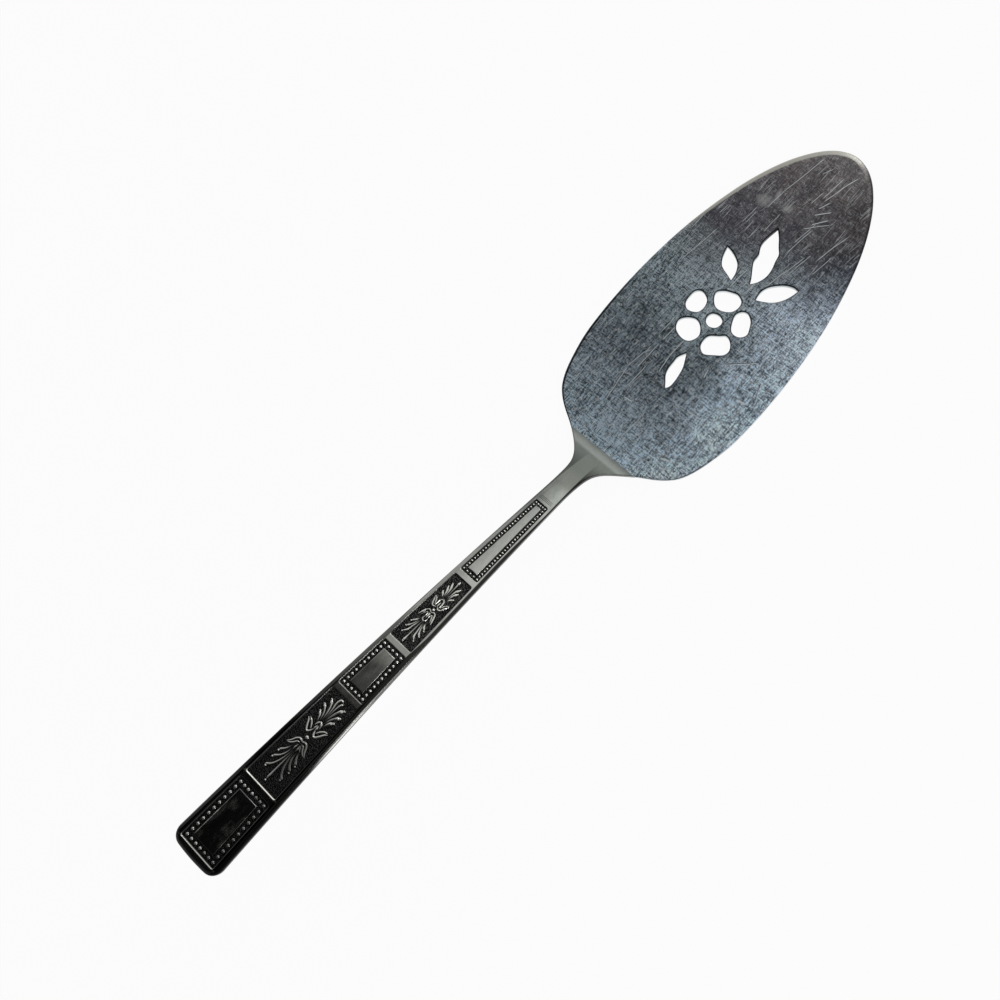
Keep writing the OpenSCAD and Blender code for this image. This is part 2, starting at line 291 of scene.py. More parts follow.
leaves = [
    ([(14.3, -0.9), (16.2, 0.1), (18.3, 1.5), (20.4, 2.7), (22.8, 2.9), (24.7, 3.9), (26.5, 4.3),
      (29, 4.1), (32, 3.6)],
     [(14.3, -0.9), (16.2, -2.3), (18.8, -3.1), (21.4, -2.9), (23.7, -2.2), (26, -1.6), (28, 0.1),
      (30.3, 1.9), (32, 3.6)]),
    ([(-23.9, -1.9), (-22.5, -0.9), (-20.7, 0.5), (-18.8, 1.1), (-16.5, 1.2), (-14.6, 1.2), (-12.2, 0)],
     [(-23.9, -1.9), (-22.9, -2.6), (-21.4, -2.8), (-19, -2.6), (-16.2, -2), (-14.1, -1), (-12.2, 0)]),
    ([(12.1, 4.1), (12.8, 6), (13.6, 8.3), (14.5, 9.5), (16.3, 10.6), (19.5, 11.6)],
     [(12.1, 4.1), (14.5, 4.5), (16.8, 5.7), (18.2, 7.6), (19.1, 9.8), (19.5, 11.6)]),
    ([(11.6, -5.2), (13, -4.9), (14.8, -4.9), (16.7, -5.7), (18.6, -7.4), (20, -9.3), (20.7, -11.3),
      (20.6, -12.9)],
     [(11.6, -5.2), (12.2, -6.7), (13.2, -8.6), (14.6, -10.3), (16.5, -11.6), (18.5, -12.4),
      (20.6, -12.9)]),
]


def piercings():
    made = [closedCurve(p, 5) for p in petals]
    for above, below in leaves:
        made.append(openCurve(steered(above), 4) + openCurve(steered(below[::-1]), 4))
    return [
        facing([(flower["middle"] + flower["size"] * x, flower["size"] * y) for x, y in p]) for p in made
    ]


panels = {
    "relief": 0.45, "endMargin": 2.4, "sideWide": 2.1, "sideNarrow": 0.95, "ridge": 1.7,
    "lengths": [20, 29.3, 15.8, 22.9, 27.7], "corner": 0.6,
}


def panelX(i):
    return panels["endMargin"] - plate["handleLength"] + sum(panels["lengths"][:i]) + i * panels["ridge"]


def panelY(x):
    wide = panels["sideWide"] - panels["sideNarrow"]
    return sideY(x) - panels["sideNarrow"] - wide * (plate["neckX"] - x) / handleRun


def roundedBox(corners, radius, steps=4):  # four corners, anticlockwise
    made = []
    for i, c in enumerate(corners):
        a = (Vector(corners[i - 1]) - Vector(c)).normalized()
        b = (Vector(corners[(i + 1) % 4]) - Vector(c)).normalized()
        for k in range(steps + 1):
            t = k / steps
            p = Vector(c) + radius * ((1 - t) ** 2 * a + t ** 2 * b)
            made.append((p.x, p.y))
    return made


def panelCorners(i, inset=0):
    x0, x1 = panelX(i) + inset, panelX(i) + panels["lengths"][i] - inset
    y0, y1 = panelY(x0) - inset, panelY(x1) - inset
    return [(x0, -y0), (x1, -y1), (x1, y1), (x0, y0)]


thick = plate["handleThick"]
holes = piercings()
rimSteps = [(1, 0), (0.8, 0.06), (0.6, 0.17), (0.4, 0.34), (0.22, 0.55), (0.08, 0.8), (0, 1.1)]


def rimLoop(across, down):
    return grown(outline, lambda x: -across * bevelAt(x).x), lambda x: down * bevelAt(x).y


rimLoops = [(grown(outline, lambda x: -bevelAt(x).x - 0.12), 0)]
rimLoops += [rimLoop(*step) for step in rimSteps]
rimLoops += [(outline, thick - 0.3), (grown(outline, -0.1), thick - 0.08), (grown(outline, -0.3), thick),
             (grown(outline, -0.42), thick)]
rim = loftedLoops(rimLoops)

holeWalls = []
for h in holes:
    c = flower["coin"]
    holeWalls.append(loftedLoops([
        (grown(h, c + 0.1), 0), (grown(h, c), 0), (grown(h, 0.5 * c), 0.06), (grown(h, 0.15 * c), 0.17),
        (h, 0.32), (h, thick - 0.12), (grown(h, 0.12), thick), (grown(h, 0.2), thick)]))

hollows, openings = [], []
for i in range(5):
    box = facing(roundedBox(panelCorners(i), panels["corner"]))
    depth = panels["relief"]
    openings.append(grown(box, 0.22))
    hollows.append(loftedLoops([
        (grown(box, 0.22), 0), (grown(box, 0.13), 0), (grown(box, 0.05), 0.02), (grown(box, -0.02), 0.09),
        (grown(box, -0.2), depth - 0.08), (grown(box, -0.26), depth - 0.02),
        (grown(box, -0.32), depth), (grown(box, -0.38), depth)], cap=True))

top = filledSheet([rimLoops[0][0]] + [grown(h, flower["coin"] + 0.1) for h in holes] + openings, 0)
under = filledSheet([rimLoops[-1][0]] + [grown(h, 0.2) for h in holes], thick)
body = joined([top, under, rim, *holeWalls, *hollows], "pieServer")
print("flat plate drawn:", len(body.data.vertices), "points")

# Cuts across the flat plate let it bend at the heel and along the handle.
bending = {"heelCuts": 9, "neckEnd": -20, "neckStep": 0.8, "handleStep": 1.5}
onlySelect(body)
bpy.ops.object.mode_set(mode="EDIT")
bpy.ops.mesh.select_all(action="SELECT")
bpy.ops.mesh.remove_doubles(threshold=mergeWithin)
cuts = [-0.02] + [heelTop.x * k / bending["heelCuts"] for k in range(1, bending["heelCuts"] + 1)]
x = heelTop.x
while x > 1 - plate["handleLength"]:
    x -= bending["neckStep"] if x > bending["neckEnd"] else bending["handleStep"]
    cuts.append(x)
for x in cuts:  # each a little aside, so that it runs through no point
    bpy.ops.mesh.select_all(action="SELECT")
    bpy.ops.mesh.bisect(plane_co=(x + 0.00137, 0, 0), plane_no=(1, 0, 0), threshold=0.0002)
bpy.ops.mesh.select_all(action="SELECT")
bpy.ops.mesh.remove_doubles(threshold=mergeWithin)
bpy.ops.mesh.normals_make_consistent(inside=False)
bpy.ops.object.mode_set(mode="OBJECT")
print("plate cut across for bending:", len(body.data.polygons), "faces")

# What stands in the panels: plaques, beads and the strokes of the palmettes.
beads = {"dip": 0.05, "sides": 14, "rings": 8}
relief = []


def plaque(i, lane):
    box = facing(roundedBox(panelCorners(i, lane), 0.15, 2))
    relief.append(loftedLoops([
        (box, panels["relief"] + 0.1), (box, 0.13), (grown(box, -0.05), 0.05),
        (grown(box, -0.14), 0.01), (grown(box, -0.24), 0), (grown(box, -0.34), 0)], cap=True))


def bead(x, y, radius):
    bpy.ops.object.select_all(action="DESELECT")
    bpy.ops.mesh.primitive_uv_sphere_add(
        segments=beads["sides"], ring_count=beads["rings"], radius=radius,
        location=(x, y, -max(beads["dip"] + radius, panels["relief"])))
    bpy.ops.object.transform_apply(location=True, rotation=True, scale=True)
    relief.append(bpy.context.object)


def beadRow(i, lane, along, left, right, radius):
    x0, x1 = panelX(i) + lane / 2, panelX(i) + panels["lengths"][i] - lane / 2
    y0, y1 = panelY(x0) - lane / 2, panelY(x1) - lane / 2
    for k in range(along):
        x = x0 + (x1 - x0) * k / (along - 1)
        for side in (-1, 1):
            bead(x, side * (panelY(x) - lane / 2), radius)
    for k in range(1, left - 1):
        bead(x0, y0 * (1 - 2 * k / (left - 1)), radius)
    for k in range(1, right - 1):
        bead(x1, y1 * (1 - 2 * k / (right - 1)), radius)


# Panel, width of its lane of beads, beads along, left and right, and a bead's radius.
beadRows = [(0, 2.3, 11, 7, 7, 0.6), (2, 1.95, 11, 6, 5, 0.5), (4, 1.45, 28, 5, 5, 0.34)]
for row in beadRows:
    plaque(*row[:2])
    beadRow(*row)
print("plaques and beads:", len(relief))


# A stroke is a curve through a few points with its own half width at each,
# made a mesh and pressed flat on to the floor of its panel.
def stroke(points, widths, high):
    bpy.ops.object.select_all(action="DESELECT")
    bpy.ops.curve.primitive_nurbs_path_add()
    ob = bpy.context.object
    curve = ob.data
    curve.splines.clear()
    line = openCurve(steered(points), 4) + [points[-1]]
    spline = curve.splines.new("POLY")
    spline.points.add(len(line) - 1)
    for k, p in enumerate(line):
        t = k / (len(line) - 1) * (len(widths) - 1)
        a = min(int(t), len(widths) - 2)
        spline.points[k].co = (p[0], p[1], 0, 1)
        spline.points[k].radius = widths[a] + (widths[a + 1] - widths[a]) * (t - a)
    curve.dimensions = "3D"
    curve.bevel_depth = 1
    curve.bevel_resolution = 2
    curve.use_fill_caps = True
    bpy.ops.object.convert(target="MESH")
    ob = bpy.context.object
    wide = max(widths)
    for v in ob.data.vertices:
        v.co.z = v.co.z * high / wide - panels["relief"]
    relief.append(ob)


# Each fan is drawn for one half, as (distance from the ball, height) points,
# half widths, how high it stands and whether the other half has it too.
largeFans = {
    "ball": (-107.7, 0.66), "bold": 1.2, "clubs": {"left": 6.5, "right": 6.5}, "clubRadius": 0.36,
    "left": [
        ([(5.0, 0), (9.3, 0.06), (12.5, 0.1), (14.2, 0.1)], (0.12, 0.2, 0.24, 0.3, 0.12), 0.36, False),
        ([(4.8, 0.35), (7.3, 0.7), (9.3, 1.3), (10.6, 2.05), (11.3, 2.85), (11.8, 2.8)],
         (0.12, 0.2, 0.25, 0.27, 0.34, 0.14), 0.4, True),
        ([(4.5, 0.85), (6.3, 1.2), (7.6, 1.9), (8.5, 2.8), (9.1, 3.15)],
         (0.12, 0.22, 0.26, 0.34, 0.14), 0.4, True),
        ([(4.1, 1.4), (5.5, 2.05), (6.3, 2.75), (7.0, 3.15)], (0.12, 0.24, 0.28, 0.34, 0.14), 0.4, True),
        ([(1.5, 0.1), (1.25, 0.75), (1.35, 1.35), (2.0, 1.95), (3.1, 2.5), (4.0, 3.4)],
         (0.2, 0.25, 0.25, 0.25, 0.22, 0.12), 0.4, True),
        ([(2.1, 0.5), (2.25, 1.1), (3.1, 1.7), (3.75, 2.45), (4.0, 3.3)],
         (0.12, 0.2, 0.22, 0.2, 0.12), 0.34, True),
        ([(2.6, 0.3), (3.6, 0.5), (4.7, 0.45)], (0.14, 0.22, 0.1), 0.28, True),
        ([(2.0, -0.25), (3.2, -0.9), (4.1, -1.5)], (0.1, 0.2, 0.1), 0.3, False),
    ],
    "right": [
        ([(2.5, 0.35), (1.5, 0.85), (1.25, 1.5), (2.3, 2.35), (3.3, 2.95), (3.95, 3.65)],
         (0.15, 0.25, 0.26, 0.26, 0.24, 0.12), 0.4, True),
        ([(2.2, 1.0), (3.1, 1.6), (3.85, 2.4), (4.15, 3.3)], (0.15, 0.24, 0.22, 0.12), 0.36, True),
        ([(3.6, 0.85), (4.55, 0.5), (5.1, -0.05)], (0.16, 0.28, 0.16), 0.38, True),
        ([(2.4, 0.3), (3.2, 0.3), (3.9, 0.1)], (0.16, 0.24, 0.16), 0.3, True),
        ([(4.5, 1.1), (6.0, 1.75), (6.9, 2.55)], (0.12, 0.24, 0.36, 0.2), 0.4, True),
        ([(5.0, 0.7), (7.1, 1.4), (8.3, 2.3), (8.8, 2.95)], (0.12, 0.22, 0.26, 0.4, 0.2), 0.42, True),
        ([(5.5, 0.35), (8.3, 0.9), (9.9, 1.6), (10.8, 2.35)], (0.12, 0.22, 0.26, 0.4, 0.2), 0.42, True),
        ([(6.0, 0.12), (8.7, 0.3), (10.7, 0.65), (12.1, 0.35), (12.3, -0.2)],
         (0.1, 0.18, 0.24, 0.34, 0.3), 0.42, False),
        ([(6.0, -0.12), (8.7, -0.2), (10.7, -0.4), (11.6, -0.75)], (0.1, 0.16, 0.24, 0.32), 0.42, False),
    ],
}
smallFans = {
    "ball": (-63.2, 0.5), "bold": 1.06, "clubs": {"left": 5.5, "right": 5.0}, "clubRadius": 0.3,
    "left": [
        ([(3.6, 0), (7.4, 0.04), (10.2, 0.08), (11.0, 0.1)], (0.12, 0.18, 0.2, 0.32, 0.14), 0.38, False),
        ([(4.0, 0.42), (6.5, 0.95), (8.2, 1.3), (9.3, 2.15)], (0.1, 0.2, 0.22, 0.3, 0.14), 0.38, True),
        ([(4.0, 0.72), (6.0, 1.35), (7.1, 1.95), (7.6, 2.45)], (0.1, 0.2, 0.24, 0.34, 0.14), 0.38, True),
        ([(3.9, 1.05), (4.9, 1.6), (5.8, 2.35)], (0.12, 0.24, 0.34, 0.16), 0.38, True),
        ([(0.9, 0.1), (0.5, 0.75), (0.9, 1.4), (2.2, 1.9), (3.4, 2.3)],
         (0.2, 0.24, 0.24, 0.26, 0.14), 0.4, True),
        ([(2.9, 0.6), (1.75, 0.5), (1.4, 0.85), (2.0, 1.25), (3.1, 1.75)],
         (0.1, 0.18, 0.2, 0.2, 0.12), 0.34, True),
        ([(2.9, 0.68), (3.5, 0.5), (3.8, 0)], (0.14, 0.2, 0.2), 0.34, True),
        ([(1.2, 0), (2.0, 0.02), (2.8, 0)], (0.3, 0.3, 0.16), 0.34, False),
    ],
    "right": [
        ([(1.15, 0.3), (0.75, 0.85), (1.1, 1.55), (2.2, 2.0), (3.15, 2.55)],
         (0.2, 0.24, 0.24, 0.24, 0.14), 0.4, True),
        ([(1.4, 1.0), (2.3, 1.4), (3.0, 1.9), (3.3, 2.5)], (0.14, 0.22, 0.22, 0.14), 0.34, True),
        ([(1.4, 0.7), (2.8, 0.68), (3.35, 0.42), (3.7, 0)], (0.18, 0.24, 0.24, 0.2), 0.4, True),
        ([(1.2, 0), (2.0, 0.02), (2.7, 0)], (0.16, 0.22, 0.14), 0.3, False),
        ([(3.9, 0.95), (4.6, 1.35), (5.3, 1.95)], (0.12, 0.26, 0.34, 0.2), 0.4, True),
        ([(4.3, 0.75), (6.0, 1.15), (7.1, 1.75)], (0.12, 0.24, 0.34, 0.22), 0.4, True),
        ([(4.3, 0.4), (7.0, 0.8), (8.4, 1.45)], (0.12, 0.22, 0.36, 0.22), 0.4, True),
        ([(4.0, 0.08), (7.8, 0.12), (9.2, 0.14), (9.8, 0.14)], (0.12, 0.18, 0.24, 0.4, 0.22), 0.42, False),
    ],
}
for fans in (largeFans, smallFans):
    ballX, ballRadius = fans["ball"]
    bead(ballX, 0, ballRadius)
    for side, sign in (("left", -1), ("right", 1)):
        for points, widths, high, both in fans[side]:
            for half in (1, -1) if both else (1,):
                bold = fans["bold"] if half > 0 else fans["bold"] ** 2  # bolder on the near side
                stroke([(ballX + sign * a, half * b) for a, b in points], [w * bold for w in widths], high)
                if points[-1][0] > fans["clubs"][side]:
                    bead(ballX + sign * points[-1][0], half * points[-1][1], fans["clubRadius"])
ornament = joined(relief, "ornament")
onlySelect(ornament)
bpy.ops.object.mode_set(mode="EDIT")
bpy.ops.mesh.select_all(action="SELECT")
bpy.ops.mesh.remove_doubles(threshold=mergeWithin)
bpy.ops.mesh.normals_make_consistent(inside=False)
bpy.ops.object.mode_set(mode="OBJECT")
print("ornament:", len(ornament.data.polygons), "faces")

# The flat model is marked with its depths, then bent to the side view.
for ob, stands in ((body, 0), (ornament, 1)):
    deep = ob.data.attributes.new("deep", "FLOAT", "POINT")
    deep.data.foreach_set("value", [-v.co.z for v in ob.data.vertices])
    kind = ob.data.attributes.new("stands", "FLOAT", "POINT")
    kind.data.foreach_set("value", [float(stands)] * len(ob.data.vertices))
server = joined([body, ornament], "pieServer")
for v in server.data.vertices:
    x, y, depth = v.co.x, v.co.y, -v.co.z
    lean = 1 / math.cos(topSlope(x))
    fromTop = topHeight(x) - depth * lean
    fromUnder = underHeight(x) + (thick - depth) * lean
    mixed = share(depth, 0.9, 1.2)  # the upper part follows the top, and the rest the underside
    v.co = ((x + heelShift) * mm, y * mm, (fromTop + (fromUnder - fromTop) * mixed) * mm)
onlySelect(server)
bpy.ops.object.shade_smooth_by_angle(angle=math.radians(38))
print("bent:", len(server.data.polygons), "faces")

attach(server, "root")
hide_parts("pie_server")


# One socket of a material's node tree. Plain maths on it adds Math nodes.
class Signal:
    def __init__(self, tree, socket=None):
        self.tree, self.socket = tree, socket

    def node(self, kind, settings=None, inputs=None, output=0):
        made = self.tree.nodes.new(kind)
        for key, value in (settings or {}).items():
            if key == "stops":
                while len(made.color_ramp.elements) < len(value):
                    made.color_ramp.elements.new(0.5)
                for stop, (place, colour) in zip(made.color_ramp.elements, value):
                    stop.position, stop.color = place, colour
            else:
                setattr(made, key, value)
        for key, value in (inputs or {}).items():
            if isinstance(value, Signal):
                self.tree.links.new(value.socket, made.inputs[key])
            else:
                made.inputs[key].default_value = value
        return Signal(self.tree, made.outputs[output])

    def calc(self, operation, *values):
        return self.node("ShaderNodeMath", {"operation": operation}, dict(enumerate(values)))

    def __add__(self, other):
        return self.calc("ADD", self, other)

    def __sub__(self, other):
        return self.calc("SUBTRACT", self, other)

    def __rsub__(self, other):
        return self.calc("SUBTRACT", other, self)

    def __mul__(self, other):
        return self.calc("MULTIPLY", self, other)

    def __truediv__(self, other):
        return self.calc("DIVIDE", self, other)

    def __pow__(self, other):
        return self.calc("POWER", self, other)

    def __rpow__(self, other):
        return self.calc("POWER", other, self)

    __radd__, __rmul__ = __add__, __mul__

    def step(self, start, end):  # 0 before start, 1 past end, smooth between
        return self.node(
            "ShaderNodeMapRange", {"interpolation_type": "SMOOTHSTEP", "clamp": False},
            {"Value": self, "From Min": start, "From Max": end, "To Min": 0.0, "To Max": 1.0})

    def between(self, low, high):
        return self.calc("MINIMUM", self.calc("MAXIMUM", self, low), high)

    def mix(self, a, b):  # colours, by this signal
        return self.node("ShaderNodeMix", {"data_type": "RGBA"}, {0: self, 6: a, 7: b}, 2)

    def tint(self, amount):  # this colour, made lighter or darker
        return self.node("ShaderNodeVectorMath", {"operation": "SCALE"}, {0: self, "Scale": amount})

    def noise(self, scales, detail=2.0, rough=0.5, twist=0.0, seed=0.0):
        at = self.node("ShaderNodeMapping", None, {
            "Vector": self, "Location": (seed, seed, seed), "Scale": scales})
        return self.node("ShaderNodeTexNoise", None, {
            "Vector": at, "Scale": 1.0, "Detail": detail, "Roughness": rough, "Distortion": twist})


# Short straight scratches: one in each long thin cell whose lot comes up.
def dashes(place, cell, turn, chance, seed, wide=0.27):
    at = place.node("ShaderNodeMapping", {"vector_type": "TEXTURE"}, {
        "Vector": place, "Location": (seed, seed, 0), "Rotation": (0, 0, turn), "Scale": (*cell, 1)})
    cells = at.node("ShaderNodeTexVoronoi", {"voronoi_dimensions": "2D"}, {"Vector": at, "Scale": 1.0})
    colour = Signal(cells.tree, cells.socket.node.outputs["Color"])
    lot = cells.node("ShaderNodeSeparateColor", None, {0: colour})
    return (1 - cells.step(0.5 * wide, wide)) * lot.step(0.98 - chance, 1.02 - chance)


# One scratch from end to end: its light edge counts up, and the dark edge beside it, a painted shadow, counts
# down; a dark scratch swaps them, so its pale edge is a painted highlight.
def scratch(x, y, start, end, wide, deep):
    along = Vector(end) - Vector(start)
    ahead = along / along.length_squared
    aside = Vector((-along.y, along.x)) / along.length / wide

    def measured(way):
        return x.calc("MULTIPLY_ADD", y, way.y, x.calc("MULTIPLY_ADD", x, way.x, -way.dot(Vector(start))))

    u, v = measured(ahead), measured(aside)
    light = v.calc("ABSOLUTE", v).step(1, 0.3)
    beside = v + 1.6
    dark = beside.calc("ABSOLUTE", beside).step(1, 0.3)
    return (light - dark) * u.step(-0.01, 0.12) * u.step(1.01, 0.85) * deep


def newMaterial(name):
    made = bpy.data.materials.new(name)
    made.use_nodes = True
    tree = made.node_tree
    shader = tree.nodes["Principled BSDF"]
    start = Signal(tree)
    place = start.node("ShaderNodeTexCoord", output=3)
    place = place.node("ShaderNodeMapping", None, {
        "Vector": place, "Location": (-heelShift, 0, 0), "Scale": (1000, 1000, 1000)})
    x = place.node("ShaderNodeSeparateXYZ", None, {0: place})
    y = Signal(tree, x.socket.node.outputs[1])
    return made, shader, place, x, y


def rgb(red, green, blue):  # a colour as given on the screen, as the shader's light values
    parts = [c / 255 for c in (red, green, blue)]
    return tuple(c / 12.92 if c <= 0.04 else ((c + 0.055) / 1.055) ** 2.4 for c in parts) + (1.0,)


def wired(tree, signal, socket):
    tree.links.new(signal.socket, socket)


# Blade: worn blue-grey steel, brushed both ways, browner and smoother at the tip.
# Places are in millimetres, and a pair is where a change starts and where it ends.
blade = {
    "reach": 110,
    "upper": [(5, rgb(155, 172, 183)), (15, rgb(143, 157, 167)), (26, rgb(105, 116, 124)),
              (38, rgb(112, 124, 131)), (47, rgb(132, 146, 153)), (62, rgb(146, 158, 165))],
    "lower": [(4, rgb(204, 222, 235)), (15, rgb(175, 192, 206)), (25, rgb(192, 210, 225)),
              (36, rgb(175, 193, 208)), (52, rgb(184, 198, 213)), (66, rgb(184, 198, 213)),
              (76, rgb(128, 136, 152))],
    "tip": [(64, rgb(97, 99, 102)), (74, rgb(84, 83, 89)), (86, rgb(97, 95, 99)),
            (97, rgb(106, 101, 102)), (106, rgb(119, 115, 115))],
    # worn is the pale rim, partly wear and partly painted highlight; shadowed and wall are painted shade,
    # brightWall a painted highlight.
    "light": rgb(226, 232, 235), "dark": rgb(22, 27, 32), "scuff": rgb(172, 172, 172),
    "worn": rgb(188, 187, 178), "shadowed": rgb(20, 25, 29), "wall": rgb(66, 69, 71),
    "brightWall": rgb(225, 230, 232),
    "contrast": {"specks": 3.6, "grain": 0.9, "across": 5.2, "along": 5.4, "cloud": 1.6, "patch": 2.8},
    "tipFrom": (56, 82), "lowerFrom": (2, 24), "tipDarkens": (2, 14),
    "holesFrom": (20, 21), "holesTo": (83, 84), "holesSide": (15.5, 16.5),
    "wornRimSheenFrom": (52, 70), "wornRimSheenSide": (4, 12), "heelRimTo": (34, 56), "heelRimSide": (-2, 4),
    "nearRimSide": (4, 8), "nearRimFades": (12, 24), "nearRimReturns": (72, 84), "brightWallTo": (82, 64),
    # Short lines: length and width of a cell, turn, share of cells, seed.
    "fine": [((2.8, 0.36), 0.06, 0.4, 1.0), ((2.4, 0.36), 1.54, 0.35, 5.0),
             ((2.6, 0.36), 0.7, 0.16, 9.0), ((2.6, 0.36), -0.7, 0.16, 14.0)],
    "gouges": [((2.6, 0.38), -0.04, 0.4, 21.0), ((2.3, 0.38), 1.62, 0.36, 26.0),
               ((2.0, 0.42), 0.9, 0.16, 33.0)],
    "long": [((13, 0.42), -0.12, 0.06, 41.0), ((9, 0.4), -0.2, 0.06, 46.0), ((12, 0.44), 0.02, 0.07, 52.0)],
    # Long scratches: from, to, half width, strength.
    "scratches": [
        ((11.5, 8.7), (23.5, 10.5), 0.12, 0.8), ((23.5, 10.5), (32.5, 9.3), 0.12, 0.7),
        ((27.5, 2.6), (33, 3.25), 0.13, 0.8), ((32.4, 3.2), (40, 3.1), 0.14, 0.9),
        ((46, 3.2), (52.5, 2.8), 0.11, 0.5), ((59, 2.85), (66.5, 2.5), 0.12, 0.8),
        ((25, 8), (34.5, 8.2), 0.12, 0.8), ((35.5, 8), (45, 7.6), 0.12, 0.8),
        ((37, 10), (43.5, 9.6), 0.12, 0.6), ((9, -2.1), (16.5, -2.4), 0.12, 0.6),
        ((19, 6.6), (27, 6.4), 0.12, 0.7), ((3, 6.9), (6, 6.3), 0.09, 0.4),
        ((57, 19.5), (71.5, 17.6), 0.1, 0.6), ((66.5, 23.5), (72.5, 23.3), 0.1, 0.5),
        ((75, 20), (78.5, 19.6), 0.1, 0.5), ((76.5, 13.1), (83, 12.4), 0.1, 0.5),
        ((77, 12.1), (81.5, 11.7), 0.1, 0.5), ((84, 9.9), (91.5, 9.2), 0.1, 0.5),
        ((90.5, 9.4), (106, 6.2), 0.1, 0.6), ((77.5, 6.1), (85, 5.7), 0.1, 0.5),
        ((76, -2.9), (86.5, -4.5), 0.1, 0.6), ((80, -2.8), (88.5, -4.2), 0.1, 0.5),
        ((92, 1), (97, 0.3), 0.1, 0.5), ((95, -0.7), (103.5, -1.8), 0.11, 0.7),
        ((94.5, -1.5), (106, -4.8), 0.12, 0.8), ((85, -2.3), (87.6, -4.8), 0.12, 0.6),
        ((87.4, -4.6), (90, -7.4), 0.12, 0.6), ((87.2, -3.2), (91, -6.2), 0.15, 0.7),
        ((89.9, -1.9), (93.4, -5.3), 0.15, 0.7), ((92, -1.6), (95.4, -3.2), 0.13, 0.6),
        ((71, -6.4), (78.5, -8), 0.1, 0.6), ((65, -4.8), (73, -6.6), 0.1, 0.5),
        ((74, -7.8), (80, -9.1), 0.1, 0.5), ((79.5, -11.2), (90.5, -13.8), 0.11, 0.7),
        ((75.5, -12.9), (83, -14), 0.1, 0.5), ((101, 4), (104, 2.4), 0.1, 0.5),
    ],
    "darkScratches": [
        ((40.5, -10.6), (46.6, -17.2), 0.14, 1.2), ((36.5, -24.6), (42.5, -21.8), 0.12, 0.8),
        ((33.8, -8.6), (36.6, -7.9), 0.16, 0.7), ((9.2, -14.2), (10.1, -17), 0.35, 0.7),
        ((35.3, -20), (35.7, -22.6), 0.4, 0.6), ((16.2, 5.2), (16.6, 2.4), 0.2, 0.6),
        ((29.5, 9.9), (31.2, 9.6), 0.25, 0.7), ((24, -11.4), (24.5, -14.2), 0.2, 0.5),
    ],
    # Scuffs: middle, half sizes.
    "scuffs": [((85.6, 12.3), (2.1, 2.4)), ((88.8, 9.9), (2.6, 0.8)), ((86.9, 5.2), (1.4, 1.7))],
}


